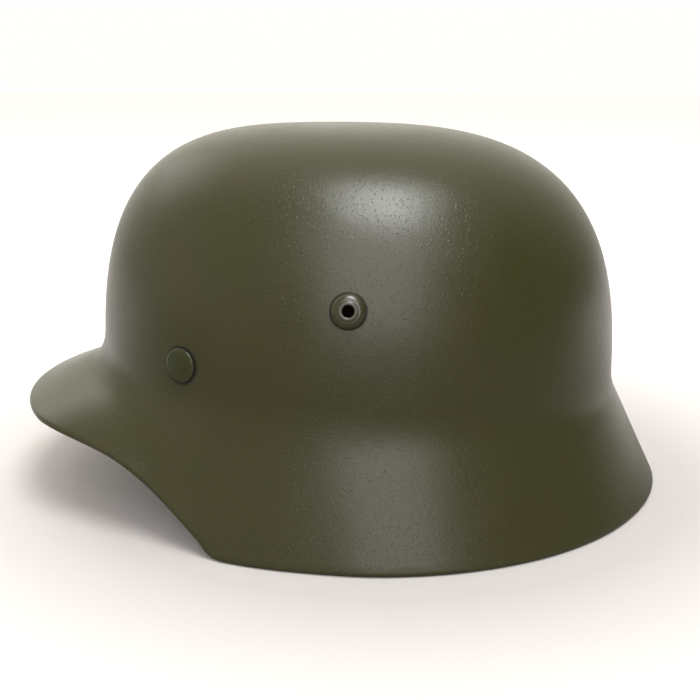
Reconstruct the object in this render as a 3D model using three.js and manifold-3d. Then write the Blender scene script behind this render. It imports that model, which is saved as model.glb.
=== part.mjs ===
// A steel combat helmet with a low skull, a short visor, ear guards and a flared neck guard.
// One pressed shell with a rolled edge, two vent bushings and the three pins that hold a liner.
// Millimetres, +Z up, -Y to the wearer's front, +X to the wearer's left.
// The origin is on the plane that the lower edge stands on, at the middle of the helmet's length.

import * as THREE from "three";
import { mergeVertices } from "three/addons/utils/BufferGeometryUtils.js";
import Module from "manifold-3d";

const wasm = await Module();
wasm.setup();

// The skull is an oval in plan and a superellipse in section, fuller as the power rises.
const HALF_LENGTH = 117;
const HALF_WIDTH = 94;
const WIDER_AT_REAR = 0.02;
const SKULL_BASE_Z = 35;
const CROWN_Z = 162;
const CROWN_FORWARD = 11;
const FULLNESS = { front: 3.3, side: 2.75, rear: 3.05 };
const SKULL_MIDDLE_Y = 5.5;

// The sheet, and the edge that is rolled inwards all round.
const STEEL = 1.2;
const ROLL_RADIUS = 1.7;
const ROLL_FLANGE = 4.5;
const ROLL_FOOT_HALF_ANGLE = 20;

// Stations round the lower part, at degrees from the front, the same on both sides.
// flare: how far the edge stands out from the skull's oval; edge: height of the edge's underside;
// crease: height at which the wall turns outwards; above, below: length of the turn on each side.
const STATIONS = [
  { at: 0, flare: 34.5, edge: 41, crease: 60.5, above: 14, below: 8 },
  { at: 20, flare: 33, edge: 41, crease: 57, above: 12, below: 12 },
  { at: 38, flare: 20, edge: 34, crease: 55.5, above: 12, below: 16 },
  { at: 50, flare: 15, edge: 20, crease: 53, above: 12, below: 20 },
  { at: 58.5, flare: 15.2, edge: 6, crease: 51.5, above: 12, below: 22 },
  { at: 61, flare: 15.8, edge: 0.8, crease: 51, above: 12, below: 22 },
  { at: 63.5, flare: 16.1, edge: 0, crease: 51, above: 12, below: 22 },
  { at: 78, flare: 16.5, edge: 0, crease: 50.5, above: 12, below: 18 },
  { at: 90, flare: 18, edge: 0, crease: 50.5, above: 9, below: 10 },
  { at: 115, flare: 19.5, edge: 0, crease: 50, above: 7, below: 7 },
  { at: 145, flare: 20.5, edge: 0, crease: 49.5, above: 6, below: 6 },
  { at: 180, flare: 23.5, edge: 0, crease: 48.5, above: 5.5, below: 5.5 },
];

// Facets: columns are closer together at the ear corners, where the edge turns quickly,
// and one more stands where the edge is widest.
const COLUMN_STEP = 6;
const CORNER_COLUMNS = [51, 54, 57, 58.5, 59.8, 61, 62.2, 63.5, 66, 69];
const WIDEST_COLUMN = 93.5;
const DOME_RINGS = 14;
const TURN_RINGS = 4;
const FLARE_RINGS = 3;
const ROUND_SIDES = 20;

// Fittings sit square to the skull at these stations and heights.
const CLEARANCE = 0.3;
const FACET_SAG = 0.4;
const VENT_PLACE = { at: 85.5, z: 98.5 };
const VENT = {
  headRadius: 6.8,
  headRise: 3,
  headEdge: 0.4,
  lipRadius: 3.7,
  lipRise: 0.5,
  holeRadius: 2.3,
  tubeRadius: 3.3,
  flangeRadius: 5.6,
  flangeThickness: 0.9,
};
const SIDE_PIN_PLACE = { at: 50, z: 72.5 };
const REAR_PIN_PLACE = { at: 180, z: 72.5 };
const PIN = {
  headRadius: 7,
  headRise: 1.4,
  headCrown: 0.15,
  edgeRound: 0.6,
  shankRadius: 2.6,
  legWidth: 4.6,
  legThickness: 1,
  legReach: 13,
  legLift: 1.1,
  slot: 0.6,
};

const PAINT = { color: 0x48462f, roughness: 0.5, metalness: 0.1 };

// A smooth curve through one column of the stations, flat at the front and at the rear.
function along(column, angle) {
  const at = Math.abs(angle);
  const last = STATIONS.length - 1;
  const gap = (i) => STATIONS[i + 1].at - STATIONS[i].at;
  const rise = (i) => (STATIONS[i + 1][column] - STATIONS[i][column]) / gap(i);
  const slope = (i) => {
    if (i === 0 || i === last || rise(i - 1) * rise(i) <= 0) return 0;
    const before = 2 * gap(i) + gap(i - 1);
    const after = gap(i) + 2 * gap(i - 1);
    return (before + after) / (before / rise(i - 1) + after / rise(i));
  };
  let i = 0;
  while (i < last - 1 && at > STATIONS[i + 1].at) i += 1;
  const h = gap(i);
  const t = (at - STATIONS[i].at) / h;
  const u = 1 - t;
  return (
    STATIONS[i][column] * (1 + 2 * t) * u * u +
    slope(i) * h * t * u * u +
    STATIONS[i + 1][column] * t * t * (3 - 2 * t) -
    slope(i + 1) * h * t * t * u
  );
}

// The skull's oval at one angle: its point, and the direction square to it, both in plan.
function oval(angle) {
  const a = THREE.MathUtils.degToRad(angle);
  const egg = 1 - WIDER_AT_REAR * Math.cos(a);
  const point = new THREE.Vector3(HALF_WIDTH * Math.sin(a) * egg, -HALF_LENGTH * Math.cos(a), 0);
  const run = new THREE.Vector3(
    HALF_WIDTH * (Math.cos(a) * egg + WIDER_AT_REAR * Math.sin(a) ** 2),
    HALF_LENGTH * Math.sin(a),
    0,
  );
  const out = new THREE.Vector3(run.y, -run.x, 0).normalize();
  return { point, out };
}

function fullness(angle) {
  const c = Math.cos(THREE.MathUtils.degToRad(angle));
  const end = c > 0 ? FULLNESS.front : FULLNESS.rear;
  return FULLNESS.side + (end - FULLNESS.side) * c * c;
}

// A point of the skull at an angle, at a share of its height between base and crown.
function skull(angle, share) {
  const n = fullness(angle);
  const spread = (1 - share ** n) ** (1 / n);
  const p = oval(angle).point.multiplyScalar(spread);
  p.y -= CROWN_FORWARD * (1 - spread);
  p.z = SKULL_BASE_Z + (CROWN_Z - SKULL_BASE_Z) * share;
  return p;
}

const shareAt = (z) => (z - SKULL_BASE_Z) / (CROWN_Z - SKULL_BASE_Z);

// The centre of the rolled edge.
function rollCentre(angle) {
  const { point, out } = oval(angle);
  point.addScaledVector(out, along("flare", angle) - ROLL_RADIUS);
  point.z = along("edge", angle) + ROLL_RADIUS * Math.cos(THREE.MathUtils.degToRad(ROLL_FOOT_HALF_ANGLE));
  return point;
}

// The rolled edge's own directions: along the edge, square to the sheet, and off the sheet's end.
function rollFrame(angle, corner) {
  const step = 0.5;
  const centre = rollCentre(angle);
  const run = rollCentre(angle + step).sub(rollCentre(angle - step)).normalize();
  const reach = centre.clone().sub(corner);
  const lean = Math.asin(ROLL_RADIUS / reach.length());
  const fall = reach.normalize();
  const normal = run.clone().cross(fall).normalize().negate();
  normal.multiplyScalar(Math.cos(lean)).addScaledVector(fall, -Math.sin(lean));
  normal.addScaledVector(run, -normal.dot(run)).normalize();
  const off = normal.clone().cross(run).negate();
  return { centre, normal, off };
}

// The outside of the shell at one angle, from the first ring below the crown to the rolled edge.
function wall(angle) {
  const crease = along("crease", angle);
  const above = along("above", angle);
  const below = along("below", angle);
  const turnTop = shareAt(crease + above);
  const start = skull(angle, turnTop);
  const slip = 0.004;
  const down = skull(angle, turnTop - slip).sub(skull(angle, turnTop + slip)).normalize();
  const corner = start.clone().addScaledVector(down, above);
  const roll = rollFrame(angle, corner);
  const end = roll.centre.clone().addScaledVector(roll.normal, ROLL_RADIUS);
  const fall = end.clone().sub(corner);
  const turnLength = Math.min(below, 0.9 * fall.length());
  const turned = corner.clone().addScaledVector(fall.normalize(), turnLength);

  const n = fullness(angle);
  const turnAngle = Math.asin(turnTop ** (n / 2));
  const points = [];
  for (let i = 1; i < DOME_RINGS; i += 1) {
    const swing = Math.PI / 2 + (turnAngle - Math.PI / 2) * (i / DOME_RINGS);
    points.push(skull(angle, Math.sin(swing) ** (2 / n)));
  }
  const turn = new THREE.QuadraticBezierCurve3(start, corner, turned);
  points.push(...turn.getPoints(TURN_RINGS));
  for (let i = 1; i <= FLARE_RINGS; i += 1) points.push(turned.clone().lerp(end, i / FLARE_RINGS));
  return { points, roll };
}

// The rolled edge in section, from the wall's outside round and back to its inside.
// The foot is a level facet, so that the edge stands flat where it is lowest.
function rollPoints({ centre, normal, off }) {
  const deg = THREE.MathUtils.radToDeg;
  const rad = THREE.MathUtils.degToRad;
  const start = deg(Math.atan2(normal.z, -off.z));
  const place = (angle, radius) =>
    centre
      .clone()
      .addScaledVector(normal, radius * Math.cos(rad(start - angle)))
      .addScaledVector(off, radius * Math.sin(rad(start - angle)));
  const footFrom = -90 + ROLL_FOOT_HALF_ANGLE;
  const footTo = -90 - ROLL_FOOT_HALF_ANGLE;
  const inner = ROLL_RADIUS - STEEL;
  const outermost = 0;
  const angles = [
    start / 2,
    outermost,
    footFrom / 2,
    footFrom,
    footTo,
    (footTo + start - 180) / 2,
    start - 180,
  ];
  const points = angles.map((angle) => place(angle, ROLL_RADIUS));
  points.push(place(start - 180, ROLL_RADIUS).addScaledVector(off, -ROLL_FLANGE));
  points.push(place(start - 180, inner).addScaledVector(off, -ROLL_FLANGE));
  points.push(place(start - 180, inner), place(start - 90, inner));
  return points;
}

function columnAngles() {
  const half = [...CORNER_COLUMNS, WIDEST_COLUMN];
  for (let at = 0; at <= 180; at += COLUMN_STEP) {
    if (at < CORNER_COLUMNS[0] || at > CORNER_COLUMNS.at(-1)) half.push(at);
  }
  half.sort((a, b) => a - b);
  const mirrored = half.slice(1, -1).reverse().map((at) => -at);
  return [...half, ...mirrored];
}

// Closes rings of points into a solid: a fan at each pole, and bands between the rings.
function closeRings(firstPole, rings, lastPole) {
  const count = rings[0].length;
  const points = [firstPole, ...rings.flat(), lastPole];
  const at = (ring, column) => 1 + ring * count + (column % count);
  const index = [];
  for (let c = 0; c < count; c += 1) index.push(0, at(0, c), at(0, c + 1));
  for (let r = 0; r + 1 < rings.length; r += 1) {
    for (let c = 0; c < count; c += 1) {
      index.push(at(r, c), at(r + 1, c), at(r, c + 1));
      index.push(at(r, c + 1), at(r + 1, c), at(r + 1, c + 1));
    }
  }
  const end = rings.length - 1;
  for (let c = 0; c < count; c += 1) index.push(points.length - 1, at(end, c + 1), at(end, c));
  return new THREE.BufferGeometry().setFromPoints(points).setIndex(index);
}

function shellGeometry() {
  const walls = columnAngles().map(wall);
  const count = walls.length;
  const ringsOut = walls[0].points.map((_, r) => walls.map((w) => w.points[r]));
  const ringsIn = ringsOut.map((ring, r) =>
    ring.map((p, c) => {
      if (r === ringsOut.length - 1) return p.clone().addScaledVector(walls[c].roll.normal, -STEEL);
      const before = ring[(c + count - 1) % count];
      const round = ring[(c + 1) % count].clone().sub(before);
      const higher = r === 0 ? new THREE.Vector3(0, -CROWN_FORWARD, CROWN_Z) : ringsOut[r - 1][c];
      const down = ringsOut[r + 1][c].clone().sub(higher);
      return p.clone().addScaledVector(down.cross(round).normalize(), -STEEL);
    }),
  );
  const rolls = walls.map((w) => rollPoints(w.roll));
  const ringsRoll = rolls[0].map((_, r) => rolls.map((points) => points[r]));
  const crown = new THREE.Vector3(0, -CROWN_FORWARD, CROWN_Z);
  const under = new THREE.Vector3(0, -CROWN_FORWARD, CROWN_Z - STEEL);
  return closeRings(crown, [...ringsOut, ...ringsRoll, ...ringsIn.reverse()], under);
}

function toSolid(geometry, matrix = new THREE.Matrix4()) {
  const bare = new THREE.BufferGeometry();
  const source = geometry.index ? geometry.toNonIndexed() : geometry;
  bare.setAttribute("position", source.getAttribute("position").clone());
  bare.applyMatrix4(matrix);
  const merged = mergeVertices(bare, 1e-3);
  return new wasm.Manifold(
    new wasm.Mesh({
      numProp: 3,
      vertProperties: merged.attributes.position.array,
      triVerts: new Uint32Array(merged.index.array),
    }),
  );
}

function toGeometry(solid) {
  const { vertProperties, triVerts } = solid.getMesh();
  const geometry = new THREE.BufferGeometry();
  geometry.setAttribute("position", new THREE.BufferAttribute(vertProperties, 3));
  geometry.setIndex(new THREE.BufferAttribute(triVerts, 1));
  const flat = geometry.toNonIndexed();
  flat.computeVertexNormals();
  return flat;
}

// Where a fitting sits: local Z runs out of the skull, local Y up its wall.
function seat({ at, z }) {
  const share = shareAt(z);
  const step = 0.002;
  const place = skull(at, share);
  const up = skull(at, share + step).sub(skull(at, share - step)).normalize();
  const round = skull(at + step, share).sub(skull(at - step, share)).normalize();
  const out = round.clone().cross(up).normalize();
  const side = up.clone().cross(out).normalize();
  return new THREE.Matrix4().makeBasis(side, up, out).setPosition(place);
}

function holeFor(place, radius) {
  const drill = new THREE.CylinderGeometry(radius, radius, 12, ROUND_SIDES).rotateX(Math.PI / 2);
  return toSolid(drill, seat(place));
}

const lathe = (profile) => {
  const points = profile.map(([radius, height]) => new THREE.Vector2(radius, height));
  return new THREE.LatheGeometry(points, ROUND_SIDES).rotateX(Math.PI / 2);
};

// A hollow rivet: a domed head with a raised lip, a tube through the shell, and a turned-out inner end.
function ventGeometry() {
  const v = VENT;
  const under = CLEARANCE;
  const top = under + v.headRise;
  const innerFace = -(STEEL + CLEARANCE + FACET_SAG);
  const dome = [];
  for (let i = 0; i <= 4; i += 1) {
    const turn = (i / 4) * (Math.PI / 2);
    const radius = v.lipRadius + (v.headRadius - v.lipRadius) * Math.cos(turn);
    dome.push([radius, under + v.headEdge + (v.headRise - v.headEdge) * Math.sin(turn)]);
  }
  const bore = innerFace - v.flangeThickness;
  const profile = [
    [v.tubeRadius, under],
    [v.headRadius, under],
    ...dome,
    [v.lipRadius, top + v.lipRise],
    [v.holeRadius, top + v.lipRise],
    [v.holeRadius, bore],
    [v.flangeRadius, bore],
    [v.flangeRadius, innerFace],
    [v.tubeRadius, innerFace],
    [v.tubeRadius, under],
  ];
  return lathe(profile);
}

// A split pin: a flat round head, a shank through the shell, and two legs bent apart inside.
function pinGeometry() {
  const p = PIN;
  const under = CLEARANCE;
  const top = under + p.headRise;
  const inside = -(STEEL + CLEARANCE + FACET_SAG);
  const edgeTop = top - p.headCrown;
  const head = lathe([
    [0, under],
    [p.headRadius - 0.3 * p.edgeRound, under],
    [p.headRadius, under + 0.3 * p.edgeRound],
    [p.headRadius, edgeTop - p.edgeRound],
    [p.headRadius - 0.3 * p.edgeRound, edgeTop - 0.3 * p.edgeRound],
    [p.headRadius - p.edgeRound, edgeTop],
    [0, top],
  ]);
  const half = p.slot / 2;
  const leg = new THREE.Shape();
  leg.moveTo(half, under + 0.4);
  leg.lineTo(half, inside - p.legThickness - 0.4);
  leg.lineTo(half + 0.8, inside - p.legThickness - 0.8);
  leg.lineTo(p.legReach, inside - p.legThickness - p.legLift);
  leg.lineTo(p.legReach, inside - p.legLift);
  leg.lineTo(half + p.legThickness + 0.6, inside - 0.2);
  leg.lineTo(half + p.legThickness, inside + 0.4);
  leg.lineTo(half + p.legThickness, under + 0.4);
  leg.closePath();
  const strip = new THREE.ExtrudeGeometry(leg, { depth: p.legWidth, bevelEnabled: false })
    .translate(0, 0, -p.legWidth / 2)
    .rotateX(Math.PI / 2);
  const upper = strip.clone().rotateZ(Math.PI / 2);
  const lower = strip.clone().rotateZ(-Math.PI / 2);
  return toGeometry(toSolid(head).add(toSolid(upper)).add(toSolid(lower)));
}

const mirrored = (place) => ({ ...place, at: -place.at });
const vents = {
  vent_bushing_left: VENT_PLACE,
  vent_bushing_right: mirrored(VENT_PLACE),
};
const pins = {
  liner_pin_left: SIDE_PIN_PLACE,
  liner_pin_right: mirrored(SIDE_PIN_PLACE),
  liner_pin_rear: REAR_PIN_PLACE,
};

function mesh(name, geometry, matrix = new THREE.Matrix4()) {
  const made = new THREE.Mesh(geometry, new THREE.MeshStandardMaterial(PAINT));
  made.name = name;
  made.applyMatrix4(matrix);
  made.position.y += SKULL_MIDDLE_Y;
  return made;
}

function shell() {
  const ventHole = VENT.tubeRadius + CLEARANCE;
  const pinHole = PIN.shankRadius + CLEARANCE;
  let solid = toSolid(shellGeometry());
  for (const place of Object.values(vents)) solid = solid.subtract(holeFor(place, ventHole));
  for (const place of Object.values(pins)) solid = solid.subtract(holeFor(place, pinHole));
  return mesh("shell", toGeometry(solid));
}

const helmet = new THREE.Group();
helmet.add(shell());
for (const [name, place] of Object.entries(vents)) helmet.add(mesh(name, ventGeometry(), seat(place)));
for (const [name, place] of Object.entries(pins)) helmet.add(mesh(name, pinGeometry(), seat(place)));

export default helmet;
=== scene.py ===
# A steel helmet standing on its own lower edge: one pressed and painted shell, two vent bushings
# riveted through its sides, and the three split pins that would hold a liner.

import math

import bmesh
import bpy
from mathutils import Matrix, Vector


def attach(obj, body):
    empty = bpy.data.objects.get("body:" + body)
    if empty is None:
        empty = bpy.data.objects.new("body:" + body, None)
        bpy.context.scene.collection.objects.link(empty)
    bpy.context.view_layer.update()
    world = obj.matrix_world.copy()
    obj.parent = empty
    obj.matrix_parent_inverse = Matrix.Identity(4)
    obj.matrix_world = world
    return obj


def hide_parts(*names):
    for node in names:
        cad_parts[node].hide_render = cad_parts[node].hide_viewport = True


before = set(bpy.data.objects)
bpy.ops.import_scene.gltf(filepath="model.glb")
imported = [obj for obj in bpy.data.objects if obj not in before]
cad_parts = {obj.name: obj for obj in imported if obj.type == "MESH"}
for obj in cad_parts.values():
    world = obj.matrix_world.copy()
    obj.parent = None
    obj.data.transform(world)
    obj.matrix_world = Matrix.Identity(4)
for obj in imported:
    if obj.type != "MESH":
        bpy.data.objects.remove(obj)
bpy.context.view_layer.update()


# The shell
# One sheet of steel, pressed into a low skull with a short visor, ear guards and a flared neck guard.
# Its edge is rolled inwards all round, and five holes are punched through it for the fittings.

MM = 0.001
half_length = 117 * MM
half_width = 94 * MM
wider_at_rear = 0.02
skull_base_z = 35 * MM
crown_z = 162 * MM
crown_forward = 11 * MM
skull_middle_y = 5.5 * MM
front_fullness = 3.3
side_fullness = 2.75
rear_fullness = 3.05
steel = 1.2 * MM
roll_radius = 1.7 * MM
roll_flange = 4.5 * MM

# at: degrees from the front, the same on both sides. flare: how far the edge stands out from the
# skull's oval. edge: height of its underside. crease: height where the wall turns outwards.
# above, below: length of that turn on each side of the crease.
stations = [
    dict(at=0, flare=34.5, edge=41, crease=60.5, above=14, below=8),
    dict(at=20, flare=33, edge=41, crease=57, above=12, below=12),
    dict(at=38, flare=20, edge=34, crease=55.5, above=12, below=16),
    dict(at=50, flare=15, edge=20, crease=53, above=12, below=20),
    dict(at=58.5, flare=15.2, edge=6, crease=51.5, above=12, below=22),
    dict(at=61, flare=15.8, edge=0.8, crease=51, above=12, below=22),
    dict(at=63.5, flare=16.1, edge=0, crease=51, above=12, below=22),
    dict(at=78, flare=16.5, edge=0, crease=50.5, above=12, below=18),
    dict(at=90, flare=18, edge=0, crease=50.5, above=9, below=10),
    dict(at=115, flare=19.5, edge=0, crease=50, above=7, below=7),
    dict(at=145, flare=20.5, edge=0, crease=49.5, above=6, below=6),
    dict(at=180, flare=23.5, edge=0, crease=48.5, above=5.5, below=5.5),
]
columns = 300
dome_rings = 34
turn_rings = 10
flare_rings = 14
roll_rings = 10
flange_rings = 2


def station_slope(column, i):
    """The slope of one column at a station, level at both ends and wherever the column turns back."""
    if i == 0 or i == len(stations) - 1:
        return 0.0
    gap_before = stations[i]["at"] - stations[i - 1]["at"]
    gap_after = stations[i + 1]["at"] - stations[i]["at"]
    rise_before = (stations[i][column] - stations[i - 1][column]) / gap_before
    rise_after = (stations[i + 1][column] - stations[i][column]) / gap_after
    if rise_before * rise_after <= 0:
        return 0.0
    before = 2 * gap_after + gap_before
    after = gap_after + 2 * gap_before
    return (before + after) / (before / rise_before + after / rise_after)


def along(column, angle):
    """A smooth curve through one column of the stations, in metres."""
    at = abs(angle)
    i = 0
    while i < len(stations) - 2 and at > stations[i + 1]["at"]:
        i += 1
    start, end = stations[i], stations[i + 1]
    gap = end["at"] - start["at"]
    t = (at - start["at"]) / gap
    u = 1 - t
    value = start[column] * (1 + 2 * t) * u * u
    value += station_slope(column, i) * gap * t * u * u
    value += end[column] * t * t * (3 - 2 * t)
    value -= station_slope(column, i + 1) * gap * t * t * u
    return value * MM


def skull_oval(angle):
    """A point of the skull's oval in plan, and the direction square to it."""
    a = math.radians(angle)
    egg = 1 - wider_at_rear * math.cos(a)
    point = Vector((half_width * math.sin(a) * egg, -half_length * math.cos(a), 0))
    run_x = half_width * (math.cos(a) * egg + wider_at_rear * math.sin(a) ** 2)
    run_y = half_length * math.sin(a)
    return point, Vector((run_y, -run_x, 0)).normalized()


def fullness(angle):
    """The power of the skull's section: the higher, the squarer its shoulder."""
    c = math.cos(math.radians(angle))
    end = front_fullness if c > 0 else rear_fullness
    return side_fullness + (end - side_fullness) * c * c


def skull_share(z):
    return (z - skull_base_z) / (crown_z - skull_base_z)


def skull_point(angle, share):
    """A point of the skull at an angle, at a share of the way from its base up to the crown."""
    power = fullness(angle)
    spread = (1 - share**power) ** (1 / power)
    point = skull_oval(angle)[0] * spread
    point.y += skull_middle_y - crown_forward * (1 - spread)
    point.z = skull_base_z + (crown_z - skull_base_z) * share
    return point


def roll_centre(angle):
    point, outwards = skull_oval(angle)
    point += outwards * (along("flare", angle) - roll_radius)
    point.y += skull_middle_y
    point.z = along("edge", angle) + roll_radius
    return point


def wall_points(angle):
    """The sheet at one angle: crown, skull, turn at the crease, flare, rolled edge and flange."""
    above = along("above", angle)
    turn_top = skull_share(along("crease", angle) + above)
    slip = 0.004
    nudge = 0.5
    start = skull_point(angle, turn_top)
    down = (skull_point(angle, turn_top - slip) - skull_point(angle, turn_top + slip)).normalized()
    corner = start + down * above

    centre = roll_centre(angle)
    run = (roll_centre(angle + nudge) - roll_centre(angle - nudge)).normalized()
    reach = centre - corner
    fall = reach.normalized()
    lean = math.asin(roll_radius / reach.length)
    normal = fall.cross(run).normalized()
    normal = normal * math.cos(lean) - fall * math.sin(lean)
    normal = (normal - run * normal.dot(run)).normalized()
    off = run.cross(normal)
    end = centre + normal * roll_radius
    drop = end - corner
    longest_turn = 0.9 * drop.length
    turned = corner + drop.normalized() * min(along("below", angle), longest_turn)

    power = fullness(angle)
    swing_end = math.asin(turn_top ** (power / 2))
    points = []
    for i in range(dome_rings):
        swing = math.pi / 2 + (swing_end - math.pi / 2) * i / dome_rings
        points.append(skull_point(angle, math.sin(swing) ** (2 / power)))
    for i in range(turn_rings + 1):
        t = i / turn_rings
        points.append(start * (1 - t) ** 2 + corner * 2 * t * (1 - t) + turned * t * t)
    for i in range(1, flare_rings + 1):
        points.append(turned.lerp(end, i / flare_rings))
    for i in range(1, roll_rings + 1):
        swing = math.pi * i / roll_rings
        points.append(centre + (normal * math.cos(swing) + off * math.sin(swing)) * roll_radius)
    for i in range(1, flange_rings + 1):
        points.append(points[-1] - off * (roll_flange / flange_rings))
    return points


def fitting_seat(angle, z):
    """Where a fitting sits: its own Z runs out of the shell, its own Y up the wall."""
    share = skull_share(z)
    slip = 0.002
    place = skull_point(angle, share)
    up = (skull_point(angle, share + slip) - skull_point(angle, share - slip)).normalized()
    run = (skull_point(angle + slip, share) - skull_point(angle - slip, share)).normalized()
    out = run.cross(up).normalized()
    side = up.cross(out)
    seat = Matrix((side, up, out)).transposed().to_4x4()
    seat.translation = place
    return seat


hole_margin = 1.2 * MM
hole_depth = 4 * MM
hole_cuts = 3
shortest_rim_edge = 0.35 * MM


def punch_hole(sheet, seat, radius):
    """Cuts a round hole through the sheet at a seat. The net is made finer there first."""
    onto_seat = seat.inverted()
    margin = radius + hole_margin

    def close_to(point, reach):
        local = onto_seat @ point
        return local.xy.length < reach and abs(local.z) < hole_depth

    near = [face for face in sheet.faces if close_to(face.calc_center_median(), margin)]
    edges = list(dict.fromkeys(edge for face in near for edge in face.edges))
    bmesh.ops.subdivide_edges(sheet, edges=edges, cuts=hole_cuts, use_grid_fill=True)
    inside = [face for face in sheet.faces if close_to(face.calc_center_median(), radius)]
    bmesh.ops.delete(sheet, geom=inside, context="FACES")
    rim = [vert for vert in sheet.verts if vert.is_boundary and close_to(vert.co, margin)]
    for vert in rim:
        local = onto_seat @ vert.co
        local.xy = local.xy.normalized() * radius
        vert.co = seat @ local
    # Points of the rim that lie too close are merged, and edges left without a face are taken out.
    bmesh.ops.remove_doubles(sheet, verts=rim, dist=shortest_rim_edge)
    loose = [edge for edge in sheet.edges if edge.is_wire]
    bmesh.ops.delete(sheet, geom=loose, context="EDGES")


vent_at = 85.5
vent_z = 98.5 * MM
pin_at = 50
pin_z = 72.5 * MM
vent_seats = {"left": fitting_seat(vent_at, vent_z), "right": fitting_seat(-vent_at, vent_z)}
pin_seats = {
    "left": fitting_seat(pin_at, pin_z),
    "right": fitting_seat(-pin_at, pin_z),
    "rear": fitting_seat(180, pin_z),
}
tube_radius = 3.3 * MM
shank_radius = 2.7 * MM
hole_play = 0.2 * MM

# The blank is a flat round net, one unit from ring to ring. Each of its points is pressed to its place.
blank = bmesh.new()
pressed = [wall_points(360 * i / columns - 180) for i in range(columns)]
spoke = [blank.verts.new((0, ring, 0)) for ring in range(len(pressed[0]))]
for inner, outer in zip(spoke, spoke[1:]):
    blank.edges.new((inner, outer))
bmesh.ops.spin(
    blank,
    geom=blank.verts[:] + blank.edges[:],
    cent=(0, 0, 0),
    axis=(0, 0, -1),
    angle=math.tau,
    steps=columns,
    use_merge=True,
)
bmesh.ops.remove_doubles(blank, verts=blank.verts, dist=0.001)
for vert in blank.verts:
    swing = math.degrees(math.atan2(vert.co.x, -vert.co.y)) + 180
    vert.co = pressed[round(swing * columns / 360) % columns][round(vert.co.length)]
bmesh.ops.recalc_face_normals(blank, faces=blank.faces)
for seat in vent_seats.values():
    punch_hole(blank, seat, tube_radius + hole_play)
for seat in pin_seats.values():
    punch_hole(blank, seat, shank_radius + hole_play)


def finished(bm, name, material):
    """The bmesh as a smooth-shaded object with its material."""
    for face in bm.faces:
        face.smooth = True
    mesh = bpy.data.meshes.new(name)
    bm.to_mesh(mesh)
    bm.free()
    mesh.materials.append(material)
    piece = bpy.data.objects.new(name, mesh)
    bpy.context.collection.objects.link(piece)
    return piece


def new_group(name, inputs, outputs):
    """An empty node group with named sockets, with its two ends."""
    group = bpy.data.node_groups.new(name, "ShaderNodeTree")
    for socket, kind in inputs:
        group.interface.new_socket(socket, in_out="INPUT", socket_type=kind)
    for socket, kind in outputs:
        group.interface.new_socket(socket, in_out="OUTPUT", socket_type=kind)
    return group, group.nodes.new("NodeGroupInput"), group.nodes.new("NodeGroupOutput")


def node(tree, kind, values=None, **settings):
    """A node of one kind, with its settings, and with values on its named or numbered sockets."""
    made = tree.nodes.new(kind)
    for name, value in settings.items():
        setattr(made, name, value)
    for socket, value in (values or {}).items():
        made.inputs[socket].default_value = value
    return made


# Sprayed paint: a fine grain, a slow waviness, small specks, and unevenness of tone and gloss.
sprayed, sprayed_in, sprayed_out = new_group(
    "sprayed paint",
    [("Position", "NodeSocketVector"), ("Grain", "NodeSocketFloat"), ("Specks", "NodeSocketFloat")],
    [("Height", "NodeSocketFloat"), ("Tone", "NodeSocketFloat"), ("Gloss", "NodeSocketFloat")],
)
grain = node(sprayed, "ShaderNodeTexNoise", {"Scale": 950.0, "Detail": 3.0, "Roughness": 0.6})
waves = node(sprayed, "ShaderNodeTexNoise", {"Scale": 260.0, "Detail": 2.0, "Roughness": 0.5})
specks = node(sprayed, "ShaderNodeTexNoise", {"Scale": 1100.0, "Detail": 1.0, "Roughness": 0.5})
speck_tops = node(sprayed, "ShaderNodeMapRange", {"From Min": 0.61, "From Max": 0.78})
patches = node(sprayed, "ShaderNodeTexNoise", {"Scale": 22.0, "Detail": 4.0, "Roughness": 0.55})
sheen = node(sprayed, "ShaderNodeTexNoise", {"Scale": 45.0, "Detail": 3.0, "Roughness": 0.6})
grain_share = node(sprayed, "ShaderNodeMath", operation="MULTIPLY")
waves_share = node(sprayed, "ShaderNodeMath", {1: 0.5}, operation="MULTIPLY")
specks_share = node(sprayed, "ShaderNodeMath", operation="MULTIPLY")
fine_height = node(sprayed, "ShaderNodeMath", operation="ADD")
whole_height = node(sprayed, "ShaderNodeMath", operation="ADD")
for texture in (grain, waves, specks, patches, sheen):
    sprayed.links.new(sprayed_in.outputs["Position"], texture.inputs["Vector"])
sprayed.links.new(grain.outputs["Fac"], grain_share.inputs[0])
sprayed.links.new(sprayed_in.outputs["Grain"], grain_share.inputs[1])
sprayed.links.new(waves.outputs["Fac"], waves_share.inputs[0])
sprayed.links.new(specks.outputs["Fac"], speck_tops.inputs["Value"])
sprayed.links.new(speck_tops.outputs["Result"], specks_share.inputs[0])
sprayed.links.new(sprayed_in.outputs["Specks"], specks_share.inputs[1])
sprayed.links.new(grain_share.outputs[0], fine_height.inputs[0])
sprayed.links.new(waves_share.outputs[0], fine_height.inputs[1])
sprayed.links.new(fine_height.outputs[0], whole_height.inputs[0])
sprayed.links.new(specks_share.outputs[0], whole_height.inputs[1])
sprayed.links.new(whole_height.outputs[0], sprayed_out.inputs["Height"])
sprayed.links.new(patches.outputs["Fac"], sprayed_out.inputs["Tone"])
sprayed.links.new(sheen.outputs["Fac"], sprayed_out.inputs["Gloss"])


paint_relief = 0.09 * MM


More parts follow.
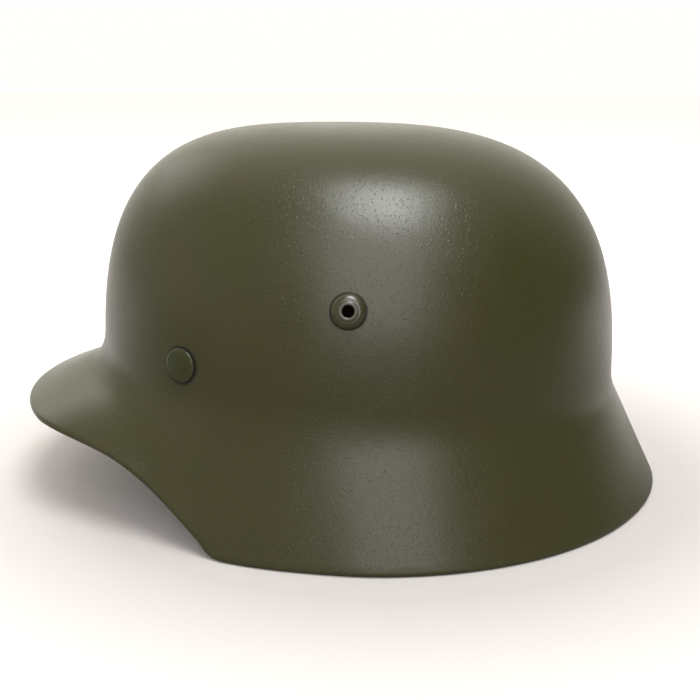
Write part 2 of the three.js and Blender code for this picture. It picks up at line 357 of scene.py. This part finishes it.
def new_paint(name, first_tone, second_tone, grain_strength, speck_strength, roughness_range):
    """A paint of two near tones: its material, its shader, and its colour and roughness nodes."""
    material = bpy.data.materials.new(name)
    material.use_nodes = True
    tree = material.node_tree
    shader = tree.nodes["Principled BSDF"]
    place = node(tree, "ShaderNodeTexCoord")
    skin = node(tree, "ShaderNodeGroup", node_tree=sprayed)
    skin.inputs["Grain"].default_value = grain_strength
    skin.inputs["Specks"].default_value = speck_strength
    colour = node(tree, "ShaderNodeMix", data_type="RGBA")
    colour.inputs[6].default_value = first_tone
    colour.inputs[7].default_value = second_tone
    smoothest, roughest = roughness_range
    roughness = node(tree, "ShaderNodeMapRange", {"To Min": smoothest, "To Max": roughest})
    bump = node(tree, "ShaderNodeBump", {"Strength": 1.0, "Distance": paint_relief})
    tree.links.new(place.outputs["Object"], skin.inputs["Position"])
    tree.links.new(skin.outputs["Tone"], colour.inputs["Factor"])
    tree.links.new(skin.outputs["Gloss"], roughness.inputs["Value"])
    tree.links.new(skin.outputs["Height"], bump.inputs["Height"])
    tree.links.new(colour.outputs[2], shader.inputs["Base Color"])
    tree.links.new(roughness.outputs["Result"], shader.inputs["Roughness"])
    tree.links.new(bump.outputs["Normal"], shader.inputs["Normal"])
    return material, shader, colour, roughness


def cover_paint(tree, shader, paint_colour, paint_roughness, mask, colour, roughness):
    """Shows another colour and roughness over a paint, as far as a mask says."""
    shown = node(tree, "ShaderNodeMix", data_type="RGBA")
    shown.inputs[7].default_value = colour
    shown_roughness = node(tree, "ShaderNodeMix", {"B": roughness}, data_type="FLOAT")
    tree.links.new(mask, shown.inputs["Factor"])
    tree.links.new(mask, shown_roughness.inputs["Factor"])
    tree.links.new(paint_colour.outputs[2], shown.inputs[6])
    tree.links.new(paint_roughness.outputs["Result"], shown_roughness.inputs["A"])
    tree.links.new(shown.outputs[2], shader.inputs["Base Color"])
    tree.links.new(shown_roughness.outputs["Result"], shader.inputs["Roughness"])


shell_green = (0.030, 0.0325, 0.0095, 1)
shell_brown = (0.040, 0.034, 0.0115, 1)
shell_paint, shader, paint_colour, paint_roughness = new_paint(
    "shell paint",
    shell_green,
    shell_brown,
    grain_strength=0.4,
    speck_strength=0.62,
    roughness_range=(0.27, 0.37),
)

# Painted shade: a soft dark ring round the head of each fitting. The mask is 1 at its inner radius.
ringed, ringed_in, ringed_out = new_group(
    "painted shade ring",
    [
        ("Position", "NodeSocketVector"),
        ("Centre", "NodeSocketVector"),
        ("Inner", "NodeSocketFloat"),
        ("Outer", "NodeSocketFloat"),
    ],
    [("Mask", "NodeSocketFloat")],
)
from_centre = node(ringed, "ShaderNodeVectorMath", operation="DISTANCE")
fading = node(ringed, "ShaderNodeMapRange", {"To Min": 1.0, "To Max": 0.0})
ringed.links.new(ringed_in.outputs["Position"], from_centre.inputs[0])
ringed.links.new(ringed_in.outputs["Centre"], from_centre.inputs[1])
ringed.links.new(from_centre.outputs["Value"], fading.inputs["Value"])
ringed.links.new(ringed_in.outputs["Inner"], fading.inputs["From Min"])
ringed.links.new(ringed_in.outputs["Outer"], fading.inputs["From Max"])
ringed.links.new(fading.outputs["Result"], ringed_out.inputs["Mask"])

# Painted shade: a near-black, dull colour laid on the shell's paint in a ring round each fitting's head.
painted_shade = (0.006, 0.006, 0.003, 1)
painted_shade_roughness = 0.8
vent_shade_ring = (6.9 * MM, 7.5 * MM)
pin_shade_ring = (7.2 * MM, 8.6 * MM)
tree = shell_paint.node_tree
place = node(tree, "ShaderNodeTexCoord")
darkest_shade = node(tree, "ShaderNodeMath", {0: 0.0, 1: 0.0}, operation="MAXIMUM")
rings = [(seat, vent_shade_ring) for seat in vent_seats.values()]
rings += [(seat, pin_shade_ring) for seat in pin_seats.values()]
for seat, (inner, outer) in rings:
    ring = node(tree, "ShaderNodeGroup", node_tree=ringed)
    ring.inputs["Centre"].default_value = seat.translation
    ring.inputs["Inner"].default_value = inner
    ring.inputs["Outer"].default_value = outer
    wider = node(tree, "ShaderNodeMath", operation="MAXIMUM")
    tree.links.new(place.outputs["Object"], ring.inputs["Position"])
    tree.links.new(darkest_shade.outputs[0], wider.inputs[0])
    tree.links.new(ring.outputs["Mask"], wider.inputs[1])
    darkest_shade = wider
# The rings of painted shade are laid over the shell paint here.
cover_paint(tree, shader, paint_colour, paint_roughness, darkest_shade.outputs[0], painted_shade, painted_shade_roughness)

sheet_end_round = 0.15 * MM
sheet_end_angle = math.radians(55)
shell = finished(blank, "pressed_shell", shell_paint)
wall = shell.modifiers.new("sheet thickness", "SOLIDIFY")
wall.thickness = steel
wall.offset = -1
wall.use_even_offset = True
ends = shell.modifiers.new("sheet ends", "BEVEL")
ends.width = sheet_end_round
ends.segments = 2
ends.limit_method = "ANGLE"
ends.angle_limit = sheet_end_angle
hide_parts("shell")
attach(shell, "root")


# The vent bushings
# A hollow rivet of drawn sheet on each side. Its domed head has a small lip round the air hole, its
# tube goes through the shell, and its inner end is turned out to hold it. The paint is rubbed thin on
# the lip. Sizes of the bushings and pins are in millimetres.

dome_radius = 6.8
dome_rise = 3.0
dome_foot = 0.3
lip_middle = 3.0
lip_half_width = 0.7
lip_rise = 0.45
head_sink = 0.3
head_inset = 0.25
inner_flange_radius = 5.6
inner_flange_thickness = 0.8
inner_flange_play = 0.05
bore_flare = 0.4
lathe_steps = 56


def arc(radius, height, wide, tall, start, stop, steps):
    """Points on an ellipse about a centre, from one angle to another: each a radius and a height."""
    angles = [math.radians(start + (stop - start) * i / steps) for i in range(steps + 1)]
    return [(radius + wide * math.cos(a), height + tall * math.sin(a)) for a in angles]


def turned(outline, closed):
    """A bmesh turned about the Z axis from an outline, whose points are a radius and a height."""
    bm = bmesh.new()
    verts = [bm.verts.new((radius * MM, 0, height * MM)) for radius, height in outline]
    ends = verts[1:] + verts[:1] if closed else verts[1:]
    edges = [bm.edges.new(pair) for pair in zip(verts, ends)]
    bmesh.ops.spin(
        bm,
        geom=verts + edges,
        cent=(0, 0, 0),
        axis=(0, 0, 1),
        angle=math.tau,
        steps=lathe_steps,
        use_merge=True,
    )
    bmesh.ops.remove_doubles(bm, verts=bm.verts, dist=0.001 * MM)
    bmesh.ops.recalc_face_normals(bm, faces=bm.faces)
    return bm


# Where hands and straps rub, the attribute "rub" is up to 1, and the paint wears through unevenly.
worn, worn_in, worn_out = new_group(
    "rubbed edge",
    [("Position", "NodeSocketVector"), ("Rub", "NodeSocketFloat"), ("Wear", "NodeSocketFloat")],
    [("Mask", "NodeSocketFloat")],
)
scuffs = node(worn, "ShaderNodeTexNoise", {"Scale": 520.0, "Detail": 4.0, "Roughness": 0.65})
scuffed_rub = node(worn, "ShaderNodeMath", operation="MULTIPLY_ADD")
worn_through = node(
    worn,
    "ShaderNodeMapRange",
    {"From Min": 0.75, "From Max": 1.15},
    interpolation_type="SMOOTHSTEP",
)
worn.links.new(worn_in.outputs["Position"], scuffs.inputs["Vector"])
worn.links.new(worn_in.outputs["Rub"], scuffed_rub.inputs[0])
worn.links.new(worn_in.outputs["Wear"], scuffed_rub.inputs[1])
worn.links.new(scuffs.outputs["Fac"], scuffed_rub.inputs[2])
worn.links.new(scuffed_rub.outputs[0], worn_through.inputs["Value"])
worn.links.new(worn_through.outputs["Result"], worn_out.inputs["Mask"])

dull_steel = (0.070, 0.059, 0.047, 1)
dull_steel_roughness = 0.42


def fitting_paint(name, first_tone, second_tone, wear_strength, shine):
    """The paint of a fitting: a little glossier than the shell's, and worn to steel where rubbed."""
    material, shader, paint_colour, paint_roughness = new_paint(
        name,
        first_tone,
        second_tone,
        grain_strength=0.3,
        speck_strength=0.2,
        roughness_range=(0.23, 0.32),
    )
    shader.inputs["Specular IOR Level"].default_value = shine
    tree = material.node_tree
    place = node(tree, "ShaderNodeTexCoord")
    rub = node(tree, "ShaderNodeAttribute", attribute_name="rub")
    wear = node(tree, "ShaderNodeGroup", node_tree=worn)
    wear.inputs["Wear"].default_value = wear_strength
    tree.links.new(place.outputs["Object"], wear.inputs["Position"])
    tree.links.new(rub.outputs["Fac"], wear.inputs["Rub"])
    mask = wear.outputs["Mask"]
    cover_paint(tree, shader, paint_colour, paint_roughness, mask, dull_steel, dull_steel_roughness)
    return material


bushing_green = (0.030, 0.0295, 0.0115, 1)
bushing_brown = (0.038, 0.032, 0.0145, 1)
bushing_paint = fitting_paint(
    "bushing paint",
    bushing_green,
    bushing_brown,
    wear_strength=0.5,
    shine=0.68,
)

sheet_inside = -steel / MM
tube = tube_radius / MM
bore = lip_middle - lip_half_width
lip_foot = lip_middle + lip_half_width
flange_round = inner_flange_thickness / 2
flange_middle = sheet_inside - inner_flange_play - flange_round
dome_outline = arc(lip_foot, dome_foot, dome_radius - lip_foot, dome_rise - dome_foot, 0, 84, 10)
lip_outline = arc(lip_middle, dome_rise, lip_half_width, lip_rise, 0, 180, 8)
flange_outline = arc(
    inner_flange_radius - flange_round,
    flange_middle,
    flange_round,
    flange_round,
    -90,
    90,
    6,
)
bushing_outline = [(tube, sheet_inside), (tube, -head_sink), (dome_radius - head_inset, -head_sink)]
bushing_outline += [*dome_outline, *lip_outline, (bore, sheet_inside)]
bushing_outline += [(bore + bore_flare, flange_middle - flange_round), *flange_outline]

for side, seat in vent_seats.items():
    bushing = turned(bushing_outline, closed=True)
    rub_layer = bushing.verts.layers.float.new("rub")
    for vert in bushing.verts:
        if vert.co.z > (dome_rise + 0.5 * lip_rise) * MM:
            vert[rub_layer] = 1.0
    bmesh.ops.transform(bushing, matrix=seat, verts=bushing.verts)
    piece = finished(bushing, "bushing_" + side, bushing_paint)
    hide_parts("vent_bushing_" + side)
    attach(piece, "root")


# The liner pins
# A split pin with a flat round head, stamped and formed from steel strip. Its two legs go through the
# shell and are bent apart inside, where they would hold the liner's band. Two are at the front corners,
# one at the rear.

pin_head_radius = 7.0
pin_head_rise = 1.75
pin_head_crown = 0.35
pin_rim_width = 2.1
pin_rim_rise = 0.8
pin_rim_undercut = 0.35
pin_crown_steps = 6
leg_root = 0.3
leg_play = 0.1
leg_slot = 0.6
leg_width = 4.6
leg_thickness = 1.0
leg_bend = 1.2
leg_reach = 13.0
leg_spring = math.radians(4.5)
leg_tip_round = 1.6

pin_face_radius = pin_head_radius - pin_rim_width
pin_rim_foot = pin_head_rise - pin_head_crown - pin_rim_rise
pin_outline = [(0, 0), (pin_face_radius, 0), (pin_head_radius - pin_rim_undercut, 0.7 * pin_rim_foot)]
pin_outline += arc(pin_face_radius, pin_rim_foot, pin_rim_width, pin_rim_rise, -20, 84, 10)
for step in reversed(range(pin_crown_steps)):
    share = step / pin_crown_steps
    height = pin_head_rise - pin_head_crown * share * share
    pin_outline.append((pin_face_radius * share, height))


def end_cap(made):
    """The face at the end of what an operator has just made, as a list of one."""
    return [part for part in made if isinstance(part, bmesh.types.BMFace)]


def bent_leg():
    """One leg: a strip that comes in through the shell, turns up along it and springs off it."""
    leg = bmesh.new()
    bmesh.ops.create_grid(leg, x_segments=1, y_segments=1, size=0.5)
    bmesh.ops.scale(leg, vec=(leg_width * MM, leg_thickness * MM, 1), verts=leg.verts)
    middle = (leg_slot + leg_thickness) / 2 * MM
    bmesh.ops.translate(leg, vec=(0, middle, leg_root * MM), verts=leg.verts)
    bend_start = (sheet_inside - leg_play) * MM

    end = bmesh.ops.extrude_face_region(leg, geom=leg.faces[:])["geom"]
    for vert in end_cap(end)[0].verts:
        vert.co.z = bend_start
    bend_from = end_cap(end)
    bend_middle = (0, middle + (leg_thickness / 2 + leg_bend) * MM, bend_start)
    end = bmesh.ops.spin(
        leg,
        geom=bend_from,
        cent=bend_middle,
        axis=(1, 0, 0),
        angle=math.pi / 2 + leg_spring,
        steps=8,
    )["geom_last"]
    bmesh.ops.delete(leg, geom=bend_from, context="FACES_ONLY")
    tip_from = end_cap(end)
    end = bmesh.ops.extrude_face_region(leg, geom=tip_from)["geom"]
    tip = end_cap(end)[0]
    bmesh.ops.delete(leg, geom=tip_from, context="FACES_ONLY")
    reach = Vector((0, 1, -math.tan(leg_spring))) * leg_reach * MM
    bmesh.ops.translate(leg, vec=reach, verts=tip.verts)
    corners = [edge for edge in tip.edges if abs(edge.verts[0].co.x - edge.verts[1].co.x) < 0.1 * MM]
    bmesh.ops.bevel(
        leg,
        geom=corners,
        offset=leg_tip_round * MM,
        offset_type="OFFSET",
        affect="EDGES",
        segments=5,
        profile=0.5,
        material=-1,
    )
    bmesh.ops.recalc_face_normals(leg, faces=leg.faces)
    return leg


pin_green = (0.021, 0.0265, 0.0065, 1)
pin_olive = (0.028, 0.030, 0.008, 1)
pin_paint = fitting_paint("pin paint", pin_green, pin_olive, wear_strength=0.6, shine=0.5)
pin_rub = 0.45
pin_rub_from = pin_head_radius - 0.6 * pin_rim_width
strip_edge_round = 0.12 * MM
strip_edge_angle = math.radians(50)

for side, seat in pin_seats.items():
    pin = turned(pin_outline, closed=False)
    rub_layer = pin.verts.layers.float.new("rub")
    for vert in pin.verts:
        if vert.co.z > pin_rim_foot * MM and vert.co.xy.length > pin_rub_from * MM:
            vert[rub_layer] = pin_rub
    for swing in (0, math.pi):
        leg = bent_leg()
        bmesh.ops.rotate(leg, matrix=Matrix.Rotation(swing, 3, "Z"), verts=leg.verts)
        leg_mesh = bpy.data.meshes.new("leg")
        leg.to_mesh(leg_mesh)
        leg.free()
        pin.from_mesh(leg_mesh)
        bpy.data.meshes.remove(leg_mesh)
    bmesh.ops.transform(pin, matrix=seat, verts=pin.verts)
    piece = finished(pin, "pin_" + side, pin_paint)
    softened = piece.modifiers.new("strip edges", "BEVEL")
    softened.width = strip_edge_round
    softened.segments = 2
    softened.limit_method = "ANGLE"
    softened.angle_limit = strip_edge_angle
    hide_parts("liner_pin_" + side)
    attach(piece, "root")


# The floor
# A plain pale surface that the helmet stands on. Its glow is painted light: faint near the helmet and
# growing white with distance, like a lit paper sweep. On the near side, the helmet mirrors it more darkly
# than it is seen, a painted darker reflection.

floor_size = 12.0
floor_pale = (0.54, 0.505, 0.485, 1)
floor_mirrored = (0.16, 0.152, 0.136, 1)
glow_colour = (1.0, 0.99, 0.97, 1)
glow_stretch = (1.3, 1.15, 1.0)
glow_shift = (0, -0.02, 0)
glow_starts = 0.165
glow_is_full = 0.375
least_glow = 0.04
full_glow = 0.68
mirrored_glow = 0.75
floor_mesh = bmesh.new()
bmesh.ops.create_grid(floor_mesh, x_segments=1, y_segments=1, size=floor_size / 2)
floor_paint = bpy.data.materials.new("pale floor")
floor_paint.use_nodes = True
tree = floor_paint.node_tree
shader = tree.nodes["Principled BSDF"]
shader.inputs["Roughness"].default_value = 0.9
shader.inputs["Specular IOR Level"].default_value = 0.1
shader.inputs["Emission Color"].default_value = glow_colour
place = node(tree, "ShaderNodeTexCoord")
rounded = node(tree, "ShaderNodeVectorMath", {1: glow_stretch, 2: glow_shift}, operation="MULTIPLY_ADD")
away = node(tree, "ShaderNodeVectorMath", operation="LENGTH")
far = node(tree, "ShaderNodeMapRange", {"From Min": glow_starts, "From Max": glow_is_full})
far.inputs["To Min"].default_value = least_glow
far.inputs["To Max"].default_value = full_glow
sides = node(tree, "ShaderNodeSeparateXYZ")
near_side = node(tree, "ShaderNodeMapRange", {"From Min": -0.2, "From Max": 0.15})
path = node(tree, "ShaderNodeLightPath")
mirrored_near = node(tree, "ShaderNodeMath", operation="MULTIPLY")
mirrored_far = node(tree, "ShaderNodeMath", operation="SUBTRACT")
seen = node(tree, "ShaderNodeMath", {1: mirrored_glow}, operation="MULTIPLY_ADD")
seen_far = node(tree, "ShaderNodeMath", operation="MULTIPLY")
tone = node(tree, "ShaderNodeMix", data_type="RGBA")
tone.inputs[6].default_value = floor_pale
tone.inputs[7].default_value = floor_mirrored
tree.links.new(place.outputs["Object"], rounded.inputs[0])
tree.links.new(rounded.outputs["Vector"], away.inputs[0])
tree.links.new(place.outputs["Object"], sides.inputs["Vector"])
tree.links.new(away.outputs["Value"], far.inputs["Value"])
tree.links.new(sides.outputs["X"], near_side.inputs["Value"])
tree.links.new(near_side.outputs["Result"], mirrored_near.inputs[0])
tree.links.new(path.outputs["Is Glossy Ray"], mirrored_near.inputs[1])
tree.links.new(path.outputs["Is Glossy Ray"], mirrored_far.inputs[0])
tree.links.new(mirrored_near.outputs[0], mirrored_far.inputs[1])
tree.links.new(mirrored_far.outputs[0], seen.inputs[0])
tree.links.new(path.outputs["Is Camera Ray"], seen.inputs[2])
tree.links.new(far.outputs["Result"], seen_far.inputs[0])
tree.links.new(seen.outputs[0], seen_far.inputs[1])
tree.links.new(mirrored_near.outputs[0], tone.inputs["Factor"])
tree.links.new(tone.outputs[2], shader.inputs["Base Color"])
tree.links.new(seen_far.outputs[0], shader.inputs["Emission Strength"])
floor = finished(floor_mesh, "floor", floor_paint)


# The light
# A pale room, brightest high on the helmet's far side, dim towards its front and dark to its rear.
# A soft box high over the helmet makes the round highlight, and a wide window the band below it.
# A window to the rear, and a soft box and a pale wall in front, are dimmer.

towards_front = (-0.5, -0.87, -0.3)
towards_far_side = (-0.8, 0.1, 0.6)
room_tint = (1.0, 0.97, 0.86, 1)
seen_tint = (1.0, 0.995, 0.985, 1)
room = bpy.data.worlds.new("pale room")
room.use_nodes = True
bpy.context.scene.world = room
tree = room.node_tree
tree.nodes.clear()
look = node(tree, "ShaderNodeTexCoord")
to_front = node(tree, "ShaderNodeVectorMath", {1: towards_front}, operation="DOT_PRODUCT")
to_far_side = node(tree, "ShaderNodeVectorMath", {1: towards_far_side}, operation="DOT_PRODUCT")
dim = node(tree, "ShaderNodeMapRange", {"From Min": -0.6, "From Max": 0.6, "To Min": 0.05, "To Max": 0.6})
bright = node(tree, "ShaderNodeMapRange", {"From Min": 0.3, "From Max": 0.9, "To Max": 0.8})
both = node(tree, "ShaderNodeMath", operation="ADD")
ray = node(tree, "ShaderNodeLightPath")
choose = node(tree, "ShaderNodeMix", {"B": 1.0}, data_type="FLOAT")
warmth = node(tree, "ShaderNodeMix", data_type="RGBA")
warmth.inputs[6].default_value = room_tint
warmth.inputs[7].default_value = seen_tint
glow = node(tree, "ShaderNodeBackground")
sky = node(tree, "ShaderNodeOutputWorld")
tree.links.new(look.outputs["Generated"], to_front.inputs[0])
tree.links.new(look.outputs["Generated"], to_far_side.inputs[0])
tree.links.new(to_front.outputs["Value"], dim.inputs["Value"])
tree.links.new(to_far_side.outputs["Value"], bright.inputs["Value"])
tree.links.new(dim.outputs["Result"], both.inputs[0])
tree.links.new(bright.outputs["Result"], both.inputs[1])
tree.links.new(ray.outputs["Is Camera Ray"], choose.inputs["Factor"])
tree.links.new(both.outputs[0], choose.inputs["A"])
tree.links.new(ray.outputs["Is Camera Ray"], warmth.inputs["Factor"])
tree.links.new(warmth.outputs[2], glow.inputs["Color"])
tree.links.new(choose.outputs["Result"], glow.inputs["Strength"])
tree.links.new(glow.outputs["Background"], sky.inputs["Surface"])
bpy.context.scene.view_settings.view_transform = "Standard"

helmet_middle = Vector((0, 0, 90 * MM))


def soft_box(name, azimuth, elevation, distance, width, height, glow, colour, roll=0):
    """A lit panel that faces the helmet. Azimuth 90 is at the helmet's left, 180 at its rear."""
    a, e = math.radians(azimuth), math.radians(elevation)
    away = Vector((math.sin(a) * math.cos(e), -math.cos(a) * math.cos(e), math.sin(e)))
    lamp = bpy.data.lights.new(name, "AREA")
    lamp.shape = "RECTANGLE"
    lamp.size = width
    lamp.size_y = height
    lamp.energy = glow * math.pi * width * height
    lamp.color = colour
    box = bpy.data.objects.new(name, lamp)
    box.location = helmet_middle + away * distance
    box.rotation_euler = away.to_track_quat("Z", "Y").to_euler()
    box.rotation_euler.rotate_axis("Z", math.radians(roll))
    bpy.context.collection.objects.link(box)
    return box


soft_box(
    "high soft box",
    azimuth=112,
    elevation=68,
    distance=1.6,
    width=0.64,
    height=0.80,
    glow=13.5,
    colour=(0.97, 0.99, 1.0),
    roll=-25,
)
soft_box(
    "wide window",
    azimuth=94.5,
    elevation=29,
    distance=2.5,
    width=1.55,
    height=2.3,
    glow=3.2,
    colour=(1.0, 0.965, 1.0),
)
soft_box(
    "rear window",
    azimuth=122,
    elevation=47,
    distance=2.5,
    width=1.0,
    height=1.6,
    glow=0.75,
    colour=(1.0, 0.98, 0.95),
)
soft_box(
    "front soft box",
    azimuth=-37,
    elevation=38,
    distance=2.0,
    width=1.0,
    height=0.8,
    glow=1.0,
    colour=(1.0, 0.99, 0.98),
)
front_wall = soft_box(
    "front wall",
    azimuth=22,
    elevation=12,
    distance=2.0,
    width=1.6,
    height=0.8,
    glow=1.2,
    colour=(1.0, 0.99, 0.97),
)
front_wall.visible_glossy = False


# The camera
# It looks at the helmet's left side from a little above, and is level to within a third of a degree.

azimuth = math.radians(87.38)
elevation = math.radians(16.33)
roll = math.radians(0.31)
distance = 0.4629
target = Vector((0, 0.95 * MM, 57.6 * MM))
level = math.cos(elevation)
back = Vector((math.sin(azimuth) * level, -math.cos(azimuth) * level, math.sin(elevation)))
camera = bpy.data.objects.new("camera", bpy.data.cameras.new("camera"))
camera.data.sensor_width = 36
camera.data.lens = 50.52
camera.data.clip_start = 0.01
turn = back.to_track_quat("Z", "Y") @ Matrix.Rotation(roll, 4, "Z").to_quaternion()
camera.rotation_euler = turn.to_euler()
camera.location = target + back * distance
bpy.context.collection.objects.link(camera)
bpy.context.scene.camera = camera
